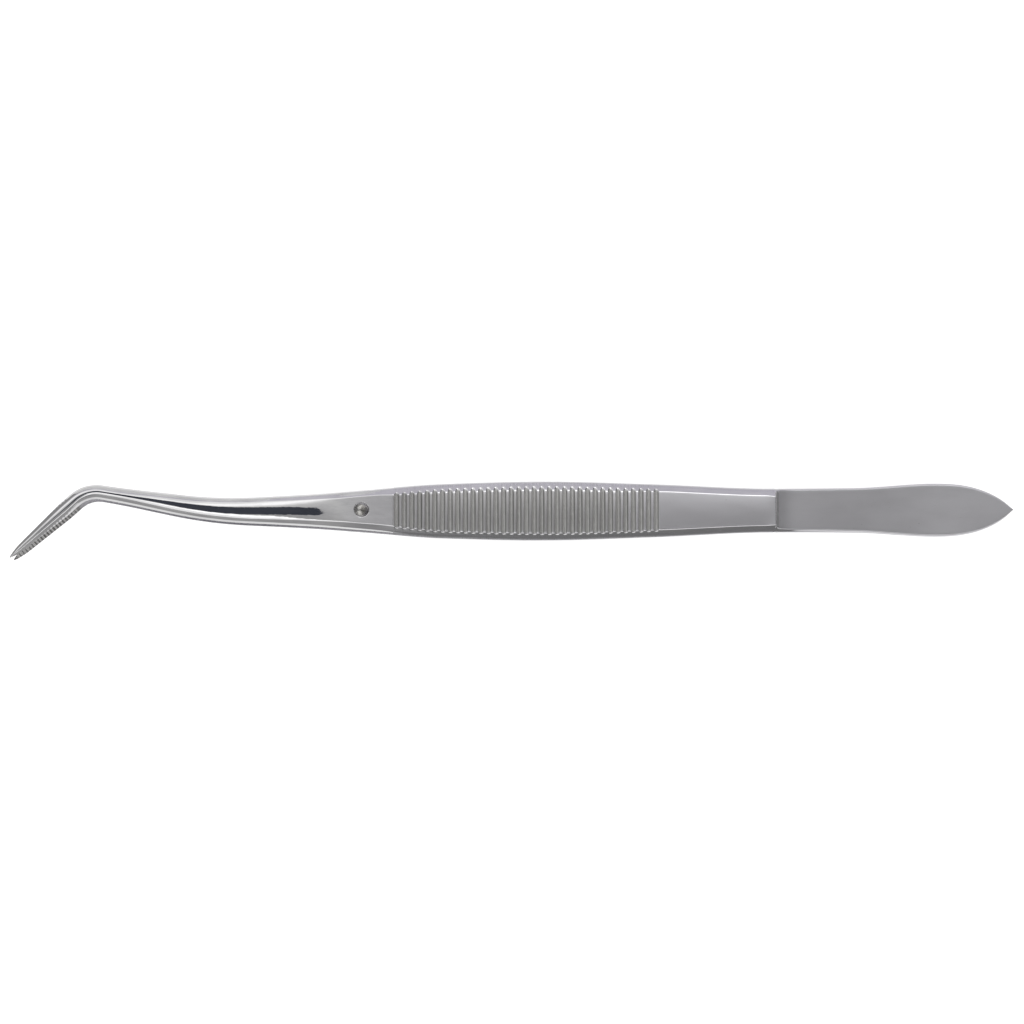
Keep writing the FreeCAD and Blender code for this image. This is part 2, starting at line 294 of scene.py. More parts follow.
def smooth(rows, at):
    """Monotone cubic through (station, value) rows: harmonic means of the rises are its slopes."""
    knots = np.array(rows, float)
    x, y = knots[:, 0], knots[:, 1]
    rise = np.diff(y) / np.diff(x)
    slope = np.zeros(len(x))
    same_way = rise[:-1] * rise[1:] > 0
    total = np.where(same_way, rise[:-1] + rise[1:], 1.0)
    slope[1:-1] = np.where(same_way, 2 * rise[:-1] * rise[1:] / total, 0.0)
    slope[-1] = rise[-1]
    at = np.clip(at, x[0], x[-1])
    k = np.clip(np.searchsorted(x, at, "right") - 1, 0, len(rise) - 1)
    span = x[k + 1] - x[k]
    u = (at - x[k]) / span
    start = (2 * u ** 3 - 3 * u ** 2 + 1) * y[k] + (u ** 3 - 2 * u ** 2 + u) * span * slope[k]
    return start + (3 * u ** 2 - 2 * u ** 3) * y[k + 1] + (u ** 3 - u ** 2) * span * slope[k + 1]


def route(at):
    """Place along the handle, offset across and heading: straight runs and arcs added end to end."""
    along, across, turned = np.zeros_like(at), np.zeros_like(at), np.zeros_like(at)
    heading, begun = 0.0, 0.0
    for end, bend in [(CURVE_AT, 0.0), (SLOPE_AT, 1 / CURVE_RADIUS), (ELBOW_AT, 0.0),
                      (JAW_AT, -1 / ELBOW_RADIUS), (ARM_LENGTH, 0.0)]:
        run = np.clip(at, begun, end) - begun
        if bend:
            along += (np.sin(heading + bend * run) - math.sin(heading)) / bend
            across += (math.cos(heading) - np.cos(heading + bend * run)) / bend
            turned += bend * run
            heading += bend * (end - begun)
        else:
            along += run * math.cos(heading)
            across += run * math.sin(heading)
        begun = end
    return along, across, turned


def weld_height(along):
    """Straight line of the weld plane, rising by the half opening."""
    return GRIP_THICKNESS + STEP_HALF_GAP + (along - BUTT_LENGTH) * OPEN_RISE


def jaw_height(along):
    """Straight line of the ground jaw, through the pivot on the weld plane."""
    return weld_height(PIVOT_AT) + (along - PIVOT_AT) * JAW_RISE


def spring_height(at):
    """Cubic ease from the weld plane, tangent to it, down to the level inner face of the grip."""
    u = (at - WELD_LENGTH) / (BUTT_LENGTH - WELD_LENGTH)
    ease = 3 * u ** 2 - 2 * u ** 3
    lead_in = (u ** 3 - 2 * u ** 2 + u) * (BUTT_LENGTH - WELD_LENGTH) * OPEN_RISE
    return weld_height(WELD_LENGTH) * (1 - ease) + GRIP_THICKNESS * ease + lead_in


def inner_height(at):
    """Inner face: weld line, spring curve, then a smooth rise from the grip to the jaw line."""
    wrist = jaw_height(route(np.array([ELBOW_AT]))[0][0])
    rise = SHAFT_RISE_SHARE * (wrist - GRIP_THICKNESS)
    run_in = jaw_height(route(np.array([JAW_AT]))[0][0]) + GRIND_ALLOWANCE / 2
    tip = jaw_height(route(np.array([ARM_LENGTH]))[0][0]) + GRIND_ALLOWANCE / 2
    ahead = smooth([(PIN_AT, GRIP_THICKNESS), (CURVE_AT, GRIP_THICKNESS + rise),
                    (ELBOW_AT, wrist), (JAW_AT, run_in), (ARM_LENGTH, tip)], at)
    butt = np.where(at <= WELD_LENGTH, weld_height(at), spring_height(at))
    return np.where(at <= BUTT_LENGTH, butt, ahead)


def half_width(at):
    """Half the width: a power curve to the butt's point, smooth rows between, a rounded taper at the tip."""
    u = np.clip(at / WELD_LENGTH, 0, 1)
    point = np.maximum(POINT_WIDTH, BUTT_WIDTH * (1 - (1 - u) ** POINT_FULLNESS) ** POINT_SHARPNESS)
    left = np.clip(ARM_LENGTH - at, 0, None)
    rounding = (1 - np.clip(1 - left / TIP_ROUNDING, 0, 1) ** 2) ** TIP_BLUNTNESS
    tip = np.maximum(POINT_WIDTH, np.minimum(WRIST_WIDTH, TIP_WIDTH + TIP_TAPER * left) * rounding)
    between = smooth([(WELD_LENGTH, BUTT_WIDTH), ((WELD_LENGTH + BUTT_LENGTH) / 2, SPRING_WIDTH),
                      (BUTT_LENGTH, NECK_WIDTH), (FIRST_RIB_AT, REAR_WIDTH), (WIDEST_AT, GRIP_WIDTH),
                      (FRONT_AT, FRONT_WIDTH), (PIN_AT, PIN_WIDTH),
                      ((PIN_AT + CURVE_AT) / 2, SHAFT_WIDTH), (CURVE_AT, CURVE_WIDTH),
                      (SLOPE_AT, SLOPE_WIDTH), (ELBOW_AT, WRIST_WIDTH), (JAW_AT, WRIST_WIDTH)], at)
    return np.where(at < WELD_LENGTH, point, np.where(left < TIP_LENGTH, tip, between)) / 2


def thickness(at):
    """Full height of the forging, easing from the grip to the point."""
    return smooth([(PIN_AT, GRIP_THICKNESS + GRIND_ALLOWANCE), ((PIN_AT + CURVE_AT) / 2, SHAFT_THICKNESS),
                   (CURVE_AT, CURVE_THICKNESS), (JAW_AT, WRIST_THICKNESS), (ARM_LENGTH, TIP_THICKNESS)], at)


def ground_crown(at):
    """How far the edges of the ground grip stay back from its middle: none at the step and by the pin."""
    rows = [(STEP_AT, 0.0), (STEP_AT + CROWN_RUN, GROUND_CROWN), (FIRST_RIB_AT - RIB_PITCH, GROUND_CROWN),
            (FIRST_RIB_AT + 3 * RIB_PITCH, RIB_CROWN), (LAST_RIB_AT - 8 * RIB_PITCH, RIB_CROWN),
            (LAST_RIB_AT + RIB_PITCH, 0.0), (PIN_AT, 0.0)]
    return smooth(rows, at) * (at > STEP_AT)


def panel_shift(at):
    """How far the ground panel lies off the middle line, towards the near side."""
    rows = [(STEP_AT, 0.0), (STEP_AT + STEP_EDGE, PANEL_SHIFT), (FIRST_RIB_AT - RIB_PITCH, PANEL_SHIFT),
            (FIRST_RIB_AT + 6 * RIB_PITCH, RIB_SHIFT), (LAST_RIB_AT - 10 * RIB_PITCH, RIB_SHIFT),
            (LAST_RIB_AT - RIB_PITCH, PANEL_SHIFT), (PIN_AT - SHIFT_ENDS_BEFORE_PIN, 0.0), (PIN_AT, 0.0)]
    return smooth(rows, at) * (at > STEP_AT)


def higher(a, b, softness):
    """The higher of two heights, with the crossing rounded: half of sum plus root of squared difference."""
    return (a + b + np.sqrt((a - b) ** 2 + softness ** 2)) / 2


def rib_floor(at):
    """Height of the ribbed flat: round grooves one pitch apart, their crests softened."""
    nearest = np.clip(np.round((at - FIRST_RIB_AT) / RIB_PITCH), 0, RIB_COUNT - 1)
    off = np.abs(at - FIRST_RIB_AT - nearest * RIB_PITCH)
    centre = RIB_DEPTH - RIB_RADIUS
    edge = math.sqrt(RIB_RADIUS ** 2 - centre ** 2)
    inside = np.sqrt(np.clip(RIB_RADIUS ** 2 - off ** 2, 0, None)) + centre
    outside = -(off - edge) * edge / -centre
    return higher(np.where(off < edge, inside, outside), 0.0, RIB_SOFTNESS)


def tooth_depth(at):
    """Depth of the jaw's notches: a V one pitch apart, with a narrow land between."""
    from_last = ARM_LENGTH - TEETH_FROM_POINT - at
    nearest = np.clip(np.round(from_last / TOOTH_PITCH), 0, TOOTH_COUNT - 1)
    off = np.abs(from_last - nearest * TOOTH_PITCH)
    return TOOTH_DEPTH * np.clip(1 - off / ((TOOTH_PITCH - TOOTH_LAND) / 2), 0, 1)


def even(start, end, steps):
    """Evenly spaced stations from start up to, but not with, end."""
    return np.linspace(start, end, steps, endpoint=False)


def stations(mouth):
    """Stations along the arm, and the height that the outer face is cut to at each of them.

    The cut follows the spring at the butt's thickness, rises by a power curve and a quarter round to the
    step, turns over its brow and goes on level with the ribs.
    """
    turn_at = STEP_AT - STEP_RUN
    point = np.arange(ALONG["point"]) / ALONG["point"]
    butt = np.concatenate([WELD_LENGTH * point ** 2, even(WELD_LENGTH, turn_at, ALONG["spring"])])
    butt_cut = np.where(butt < WELD_LENGTH, weld_height(butt), spring_height(butt)) - BUTT_THICKNESS

    run = even(turn_at, STEP_AT - STEP_FOOT, ALONG["step"])
    angle = np.linspace(0, math.pi / 2, ALONG["foot"])
    step = np.concatenate([run, STEP_AT - STEP_FOOT * (1 - np.sin(angle))])
    rise = STEP_RISE * ((step - turn_at) / STEP_RUN) ** STEP_CURVE
    rise[len(run):] += STEP_FOOT_HEIGHT * (1 - np.cos(angle))
    step_cut = spring_height(step) - BUTT_THICKNESS - rise

    angle = np.linspace(0, math.pi / 2, ALONG["brow"])
    brow = STEP_AT + STEP_EDGE * (1 - np.cos(angle))
    brow_cut = STEP_EDGE * (1 - np.sin(angle))

    ribs = (FIRST_RIB_AT + RIB_PITCH * np.arange(RIB_COUNT)[:, None] + np.array(RIB_PLACES)).ravel()
    teeth = ARM_LENGTH - TEETH_FROM_POINT - TOOTH_PITCH * np.arange(TOOTH_COUNT)
    notches = (teeth[::-1, None] + np.array(TOOTH_PLACES)).ravel()
    ahead = np.concatenate([
        even(STEP_AT + 1.5 * STEP_EDGE, ribs[0], ALONG["flat"]), ribs,
        even(LAST_RIB_AT + RIB_PITCH / 2, PIN_AT - mouth, ALONG["behind_pin"]),
        even(PIN_AT - mouth, PIN_AT + mouth, 2 * MOUTH_PLACES),
        even(PIN_AT + mouth, CURVE_AT, ALONG["shaft"]), even(CURVE_AT, SLOPE_AT, ALONG["curve"]),
        even(SLOPE_AT, ELBOW_AT, ALONG["slope"]), even(ELBOW_AT, JAW_AT, ALONG["elbow"]),
        even(JAW_AT, notches[0], ALONG["behind_teeth"]), notches,
        even(teeth[0] + TOOTH_PITCH / 2, ARM_LENGTH - POINT_EDGE, ALONG["tip"])])
    at = np.concatenate([butt, step, brow, ahead])
    return at, np.concatenate([butt_cut, step_cut, brow_cut, rib_floor(ahead)])


def straight(start, end, steps):
    """Points from start up to, but not with, end, as rows by steps by two."""
    share = (np.arange(steps) / steps)[None, :, None]
    return start[:, None, :] * (1 - share) + end[:, None, :] * share


def rounded(start, corner, end, steps):
    """Quadratic curve that rounds a corner, as rows by steps by two, without its end."""
    u = (np.arange(steps) / steps)[None, :, None]
    return start[:, None, :] * (1 - u) ** 2 + 2 * corner[:, None, :] * u * (1 - u) + end[:, None, :] * u ** 2


def toward(corner, other, reach):
    """Point at a reach from the corner on its way to another, but no further than a share of the way."""
    way = other - corner
    length = np.maximum(np.linalg.norm(way, axis=1), 1e-6)
    return corner + way * (np.minimum(reach, LONGEST_REACH_SHARE * length) / length)[:, None]


def spread(end, places, mouth, pull):
    """Even places from 0 to end. At full pull, the one numbered MOUTH_PLACES lies on the hole's square."""
    k = np.arange(places + 1)[None, :]
    plain = end[:, None] * k / places
    inside = mouth * k / MOUTH_PLACES
    beyond = mouth + (end[:, None] - mouth) * (k - MOUTH_PLACES) / (places - MOUTH_PLACES)
    drawn = np.where(k <= MOUTH_PLACES, inside, beyond)
    return plain * (1 - pull[:, None]) + drawn * pull[:, None]


def outlines(at, cut, mouth):
    """Half outlines (sideways, height) of the arm at its stations, from inner middle to panel middle.

    Wall, chamfer and panel meet at corners that are the blank's own or where a cut plane meets them.
    """
    along = route(at)[0]
    half = half_width(at)
    blank = inner_height(at)
    inner = np.minimum(np.minimum(blank, weld_height(along)), jaw_height(along)) - tooth_depth(at)
    deep = thickness(at)
    wall = smooth([(PIN_AT, GRIP_WALL), (CURVE_AT, SHAFT_WALL), (ELBOW_AT, WRIST_THICKNESS / 2),
                   (ARM_LENGTH, TIP_THICKNESS / 2)], at)
    wall = np.where(at < BUTT_LENGTH, smooth([(WELD_LENGTH, BUTT_WALL), (BUTT_LENGTH, GRIP_WALL)], at), wall)
    draft = smooth([(LAST_RIB_AT, GRIP_DRAFT), (CURVE_AT, SHAFT_DRAFT), (ARM_LENGTH, TIP_DRAFT)], at)
    lean = np.minimum(wall * np.tan(np.radians(draft)), CHAMFER_SHARE * half)
    chamfer = smooth([(FIRST_RIB_AT - 2 * RIB_PITCH, GRIP_CHAMFER),
                      (FIRST_RIB_AT + 6 * RIB_PITCH, RIB_CHAMFER),
                      (LAST_RIB_AT - 12 * RIB_PITCH, RIB_CHAMFER),
                      (LAST_RIB_AT, GRIP_CHAMFER), (CURVE_AT, SHAFT_CHAMFER)], at)
    chamfer = np.minimum(chamfer, CHAMFER_SHARE * half)
    crown = smooth([(LAST_RIB_AT, GRIP_CROWN), (CURVE_AT, SHAFT_CROWN), (ARM_LENGTH, GRIP_CROWN)], at)

    low = blank - deep + crown
    shoulder = blank - wall
    ground = ground_crown(at)
    edge_z = higher(low, cut + ground, PANEL_SOFTNESS)
    shoulder_z = higher(shoulder, edge_z + BUTT_RIM, SHOULDER_SOFTNESS)
    shoulder_z = np.minimum(shoulder_z, inner - LEAST_WALL)
    shoulder_y = half - lean * (blank - shoulder_z) / wall
    run = chamfer * (shoulder - edge_z) / np.maximum(shoulder - low, LEAST_WALL)
    edge_y = np.minimum(half - lean - run, shoulder_y - np.minimum(BUTT_RIM, LEAST_RIM_SHARE * half))
    edge_y = np.maximum(edge_y, LEAST_PANEL_SHARE * half)
    edge_y = edge_y - PANEL_INSET * np.minimum(panel_shift(at) / PANEL_SHIFT, 1)

    inner_corner = np.stack([half, inner], 1)
    shoulder_corner = np.stack([shoulder_y, shoulder_z], 1)
    edge_corner = np.stack([edge_y, edge_z], 1)
    inner_start = toward(inner_corner, np.stack([0 * half, inner], 1), INNER_EDGE)
    wall_start = toward(inner_corner, shoulder_corner, INNER_EDGE)
    wall_end = toward(shoulder_corner, inner_corner, WALL_EDGE / 2)
    chamfer_start = toward(shoulder_corner, edge_corner, WALL_EDGE / 2)
    chamfer_end = toward(edge_corner, shoulder_corner, PANEL_EDGE / 2)
    panel_y = edge_y - np.minimum(PANEL_EDGE / 2, LEAST_RIM_SHARE * edge_y)

    pull = np.clip(1 - (np.abs(at - PIN_AT) - mouth) / (SQUARE_REACH * mouth), 0, 1)
    pull = pull * pull * (3 - 2 * pull)
    places = spread(panel_y, FLAT_PLACES, mouth, pull)
    off_middle = (places / edge_y[:, None]) ** 2
    crowned = (blank - deep)[:, None] + crown[:, None] * off_middle
    cut_to = cut[:, None] + ground[:, None] * off_middle
    panel = np.stack([places, higher(crowned, cut_to, PANEL_SOFTNESS)], 2)[:, ::-1]
    inner_places = spread(inner_start[:, 0], FLAT_PLACES, mouth, pull)
    face = np.stack([inner_places, np.repeat(inner[:, None], FLAT_PLACES + 1, 1)], 2)
    return np.concatenate([
        face[:, :-1], rounded(inner_start, inner_corner, wall_start, EDGE_PLACES),
        straight(wall_start, wall_end, WALL_PLACES),
        rounded(wall_end, shoulder_corner, chamfer_start, EDGE_PLACES),
        straight(chamfer_start, chamfer_end, CHAMFER_PLACES),
        rounded(chamfer_end, edge_corner, panel[:, 0], EDGE_PLACES), panel], 1)


def place(at, sideways, height):
    """Points in the part's frame: the station's place on the route, with sideways turned by its heading."""
    along, across, heading = route(at)
    x = REST_AT - along + sideways * np.sin(heading)
    return np.stack([x, across + sideways * np.cos(heading), height], -1)


def joined(first, second):
    """Quads between two closed loops of point numbers, or between rows of them."""
    return np.stack([first, second, np.roll(second, -1, -1), np.roll(first, -1, -1)], -1)


def whole_outlines(at, cut, mouth):
    """Points (station, sideways, height) round the arm, and the number of the panel's middle in each row.

    The far half mirrors the near one, then what lies outside the wall moves by the panel's shift.
    """
    half_ring = outlines(at, cut, mouth)
    other = half_ring[:, -2:0:-1] * np.array([-1.0, 1.0])
    ring = np.concatenate([half_ring, other], 1)
    shoulder = GRIP_THICKNESS - GRIP_WALL
    outside = np.clip((shoulder - ring[..., 1]) / (shoulder - SHIFT_FULL_HEIGHT), 0, 1)
    ring[..., 0] -= panel_shift(at)[:, None] * outside
    station = np.repeat(at[:, None], ring.shape[1], 1)
    return np.concatenate([station[..., None], ring], -1), half_ring.shape[1] - 1


def drawn_round(lay, flat, mouth, radius):
    """Stations and sideways places with the square round the pin drawn into a circle, on one flat.

    A point keeps its direction from the pin. Its pull is the square of a share that falls evenly to nothing
    past the square.
    """
    u, v = lay[..., 0] - PIN_AT, lay[..., 1]
    square = np.maximum(np.maximum(np.abs(u), np.abs(v)), 1e-6)
    pull = np.clip(1 - (square - mouth) / (ROUND_REACH * mouth), 0, 1) ** 2 * flat[None, :]
    distance = np.maximum(np.hypot(u, v), 1e-6)
    station = lay[..., 0] * (1 - pull) + (PIN_AT + u / distance * radius) * pull
    return np.stack([station, v * (1 - pull) + v / distance * radius * pull], -1)


def end_cap(outline, ends, reach, total):
    """Points, quads and triangles that close an end of the arm: loops shrink to a hub.

    With a reach they follow a quarter circle out to it, and without one they lie flat.
    """
    hub = np.array([outline[0, 0] + reach, 0.0, (outline[:, 2].max() + outline[:, 2].min()) / 2])
    parts, quads = [], []
    for step in END_STEPS:
        shrink = math.sqrt(1 - step ** 2) if reach else 1 - FLAT_END_SHRINK * step
        loop = hub + (outline - hub) * shrink
        loop[:, 0] = outline[0, 0] + reach * step
        fresh = total + np.arange(len(ends))
        quads.append(joined(ends, fresh) if reach else joined(fresh, ends))
        parts.append(loop)
        ends, total = fresh, total + len(ends)
    hubs, around = np.full(len(ends), total), np.roll(ends, -1)
    triangles = np.stack([ends, hubs, around] if reach else [hubs, ends, around], -1)
    return np.concatenate(parts + [hub[None]]), np.concatenate(quads), triangles


def arm_shape(mouth, outer_hole, inner_hole, bore):
    """Points of one arm in its unbent state, shares of panel and chamfer at them, quads and triangles.

    The arm has a round hole at the pin, in a square of the grid whose half side is mouth. bore lists its
    wall as (radius, share of the way from the outer face to the inner one).
    """
    at, cut = stations(mouth)
    lay, middle = whole_outlines(at, cut, mouth)
    rows, places = lay.shape[:2]
    number = np.arange(places)
    to_middle = np.abs(number - middle)
    panel = to_middle <= FLAT_PLACES
    face = (number <= FLAT_PLACES) | (number >= places - FLAT_PLACES)
    for flat, radius in ((panel, outer_hole), (face, inner_hole)):
        lay[..., :2] = drawn_round(lay, flat, mouth, radius)

    first = int(np.argmin(np.abs(at - (PIN_AT - mouth))))
    last = first + 2 * MOUTH_PLACES
    index = np.arange(rows * places).reshape(rows, places)
    quads = joined(index[:-1], index[1:])
    kept = np.ones(quads.shape[:2], bool)
    kept[first:last, middle - MOUTH_PLACES:middle + MOUTH_PLACES] = False
    kept[first:last, :MOUTH_PLACES] = False
    kept[first:last, places - MOUTH_PLACES:] = False

    k = np.arange(2 * MOUTH_PLACES)
    side = np.full(len(k), MOUTH_PLACES)
    mouth_row = np.concatenate([first + k, np.full(len(k), last), last - k, np.full(len(k), first)])
    mouth_place = np.concatenate([-side, k - MOUTH_PLACES, side, MOUTH_PLACES - k])
    outer = lay[mouth_row, middle - mouth_place]
    inner = lay[mouth_row, mouth_place % places]
    angle = np.arctan2(outer[:, 1], outer[:, 0] - PIN_AT)
    parts, loops, total = [lay.reshape(-1, 3)], [index[mouth_row, middle - mouth_place]], lay.size // 3
    for radius, share in bore:
        height = outer[:, 2] + (inner[:, 2] - outer[:, 2]) * share
        parts.append(np.stack([PIN_AT + radius * np.cos(angle), radius * np.sin(angle), height], -1))
        loops.append(total + np.arange(len(angle)))
        total += len(angle)
    loops.append(index[mouth_row, mouth_place % places])
    faces = [quads[kept]] + [joined(a, b) for a, b in zip(loops, loops[1:])]

    caps = []
    for row, reach in ((0, 0.0), (rows - 1, POINT_EDGE)):
        points, cap_quads, triangles = end_cap(lay[row], index[row], reach, total)
        parts.append(points)
        faces.append(cap_quads)
        caps.append(triangles)
        total += len(points)
    lay = np.concatenate(parts)
    on_panel = np.clip(FLAT_PLACES + PANEL_EDGE_SHARE - to_middle, 0, 1)
    on_chamfer = (to_middle > FLAT_PLACES) & (to_middle < FLAT_PLACES + EDGE_PLACES + CHAMFER_PLACES)
    across = np.zeros((len(lay), 2))
    across[:rows * places] = np.tile(np.stack([on_panel, on_chamfer], -1), (rows, 1))
    return lay, across, np.concatenate(faces), np.concatenate(caps)


def mirrored(points):
    """Reflection of points in the weld plane: twice the distance to the plane taken off along its normal."""
    normal = np.array([OPEN_RISE, 0.0, 1.0]) / math.hypot(OPEN_RISE, 1.0)
    on_plane = np.array([REST_AT - PIVOT_AT, 0.0, weld_height(PIVOT_AT)])
    return points - 2 * ((points - on_plane) @ normal)[:, None] * normal


def signed_volume(points, quads):
    """Six times the volume inside the quads: positive when they face outwards."""
    corner = points[quads]
    first = np.einsum("ij,ij->i", corner[:, 0], np.cross(corner[:, 1], corner[:, 2]))
    second = np.einsum("ij,ij->i", corner[:, 0], np.cross(corner[:, 2], corner[:, 3]))
    return float((first + second).sum())


def mesh_object(name, points, quads, triangles):
    """Closed mesh object from points in millimetres, quads and triangles, which it turns outwards."""
    if signed_volume(points, quads) < 0:
        quads, triangles = quads[:, ::-1], triangles[:, ::-1]
    mesh = bpy.data.meshes.new(name)
    corners = np.concatenate([quads.ravel(), triangles.ravel()]).astype(np.int32)
    starts = np.concatenate([4 * np.arange(len(quads)), 4 * len(quads) + 3 * np.arange(len(triangles))])
    sizes = np.concatenate([np.full(len(quads), 4), np.full(len(triangles), 3)])
    mesh.vertices.add(len(points))
    mesh.vertices.foreach_set("co", (points * MM).astype(np.float32).ravel())
    mesh.loops.add(len(corners))
    mesh.loops.foreach_set("vertex_index", corners)
    mesh.polygons.add(len(starts))
    mesh.polygons.foreach_set("loop_start", starts.astype(np.int32))
    mesh.polygons.foreach_set("loop_total", sizes.astype(np.int32))
    mesh.polygons.foreach_set("use_smooth", np.ones(len(starts), bool))
    mesh.update(calc_edges=True)
    mesh.validate()
    made = bpy.data.objects.new(name, mesh)
    bpy.context.scene.collection.objects.link(made)
    return made


def store(piece, name, kind, values):
    """One value or vector for each point of the piece, which its finish reads by name."""
    field = "vector" if kind == "FLOAT_VECTOR" else "value"
    attribute = piece.data.attributes.new(name, kind, "POINT")
    attribute.data.foreach_set(field, values.astype(np.float32).ravel())


def finish_values(lay, across):
    """Shares of polish, rib cut, place across a rib, worn land and jaw face at points of the unbent arm."""
    at, sideways, height = lay.T
    on_panel, on_chamfer = across.T
    shaft = smooth([(LAST_RIB_AT, FLAT_POLISH), (PIN_AT, PIN_POLISH), (PIN_AT + POLISHED_PAST_PIN, 1.0),
                    (ARM_LENGTH, 1.0)], at)
    shaft = np.where(at < LAST_RIB_AT + POLISH_PAST_RIBS, 0.0, shaft)
    to_foot = np.abs(at - STEP_AT + STEP_FOOT / 2)
    polish = np.maximum(shaft, CHAMFER_POLISH * on_chamfer * (at > STEP_AT))
    polish = np.maximum(polish, FOOT_POLISH * np.clip(FOOT_FADES - to_foot / FOOT_FADE, 0, 1))
    inside = np.clip((height - inner_height(at) + INNER_DEPTH) / INNER_FADE, 0, 1)
    inside = inside * (np.abs(sideways) < half_width(at) - INNER_MARGIN)
    jaw = np.clip((at - ARM_LENGTH + TIP_LENGTH) / JAW_FADE, 0, 1) * inside

    ribbed = (at > FIRST_RIB_AT - RIB_PITCH / 2) & (at < LAST_RIB_AT + RIB_PITCH / 2)
    cut = np.clip((rib_floor(at) - CUT_FROM) / CUT_FADE, 0, 1) * ribbed
    groove = cut * on_panel
    nearest = np.clip(np.round((at - FIRST_RIB_AT) / RIB_PITCH), 0, RIB_COUNT - 1)
    side = 0.5 - (at - FIRST_RIB_AT - nearest * RIB_PITCH) / CUT_SPAN
    worn = smooth([(FIRST_RIB_AT + 2 * RIB_PITCH, 0.0), (FIRST_RIB_AT + 8 * RIB_PITCH, 1.0),
                   (LAST_RIB_AT, LAST_RIB_WEAR)], at)
    kept_polish = (1 - groove) * (1 - INNER_DULLING * inside + JAW_POLISH * jaw)
    return {"polish": polish * kept_polish, "groove": groove,
            "side": side * ribbed, "worn": worn * ribbed * on_panel * (1 - cut), "jaw": jaw}


def arm_object(name, hole, shift, upper):
    """One arm as an object, with the values that its finish reads; shift sets its pattern apart."""
    lay, across, quads, triangles = arm_shape(*hole)
    points = place(*lay.T)
    if upper:
        points = mirrored(points)
    piece = mesh_object(name, points, quads, triangles)
    store(piece, "lay", "FLOAT_VECTOR", (lay + np.array([shift, 0.0, 0.0])) * MM)
    for value_name, values in finish_values(lay, across).items():
        store(piece, value_name, "FLOAT", values)
    return piece


def guide_pin():
    """Turned pin: a profile of radius and height carried round its axis, from the rivet up to the nose."""
    x = REST_AT - PIN_AT + HOLE_LEAD
    shank, nose, rivet = PIN_DIAMETER / 2, PIN_NOSE_DIAMETER / 2, RIVET_DIAMETER / 2
    tip = 2 * weld_height(PIN_AT) - PIN_BELOW_SURFACE
    root = tip - PIN_POINT_HEIGHT
    up = np.linspace(0, 1, CONE_PLACES)
    angle = np.linspace(0, math.pi / 2, NOSE_PLACES)[1:-1]
    radius = np.concatenate([rivet * RIVET_LOOPS, [shank, shank, shank],
                             shank - (shank - nose) * up, nose * np.cos(angle)])
    height = np.concatenate([[RIVET_RECESS] * 3, [RIVET_RECESS + RIVET_EDGE],
                             [RIVET_DEPTH, RIVET_DEPTH + LOOP_PAST_RIVET, root - LOOP_BEFORE_CONE],
                             root + (PIN_POINT_HEIGHT - PIN_NOSE_HEIGHT) * up ** PIN_POINT_CURVE,
                             tip - PIN_NOSE_HEIGHT * (1 - np.sin(angle))])
    turn = 2 * math.pi * np.arange(PIN_PLACES) / PIN_PLACES
    points = np.stack([x + radius[:, None] * np.cos(turn), radius[:, None] * np.sin(turn),
                       np.repeat(height[:, None], PIN_PLACES, 1)], -1).reshape(-1, 3)
    points = np.concatenate([points, [[x, 0.0, RIVET_RECESS], [x, 0.0, tip]]])
    index = np.arange(len(radius) * PIN_PLACES).reshape(len(radius), PIN_PLACES)
    lower, upper = index[:-1], index[1:]
    quads = np.stack([lower, np.roll(lower, -1, 1), np.roll(upper, -1, 1), upper], -1).reshape(-1, 4)
    below, above = np.full(PIN_PLACES, len(points) - 2), np.full(PIN_PLACES, len(points) - 1)
    foot = np.stack([below, np.roll(index[0], -1), index[0]], -1)
    top = np.stack([above, index[-1], np.roll(index[-1], -1)], -1)
    return mesh_object("turned_pin", points, quads, np.concatenate([foot, top]))


def used(sockets, key):
    """Socket with a number, or with a name among those in use: a node hides its sockets for other data."""
    return sockets[key] if isinstance(key, int) else next(s for s in sockets if s.enabled and s.name == key)


class Value:
    """A value that varies over a surface: sums and products of such values add the nodes for them."""

    def __init__(self, finish, socket):
        self.finish, self.socket = finish, socket

    def maths(self, operation, first, second):
        """The value of one operation on two values or numbers."""
        return self.finish.node("ShaderNodeMath", {"operation": operation}, {0: first, 1: second})

    def __add__(self, other):
        return self.maths("ADD", self, other)

    def __sub__(self, other):
        return self.maths("SUBTRACT", self, other)

    def __rsub__(self, other):
        return self.maths("SUBTRACT", other, self)

    def __mul__(self, other):
        return self.maths("MULTIPLY", self, other)

    def most(self, other):
        """The larger of two values."""
        return self.maths("MAXIMUM", self, other)

    __radd__ = __add__
    __rmul__ = __mul__


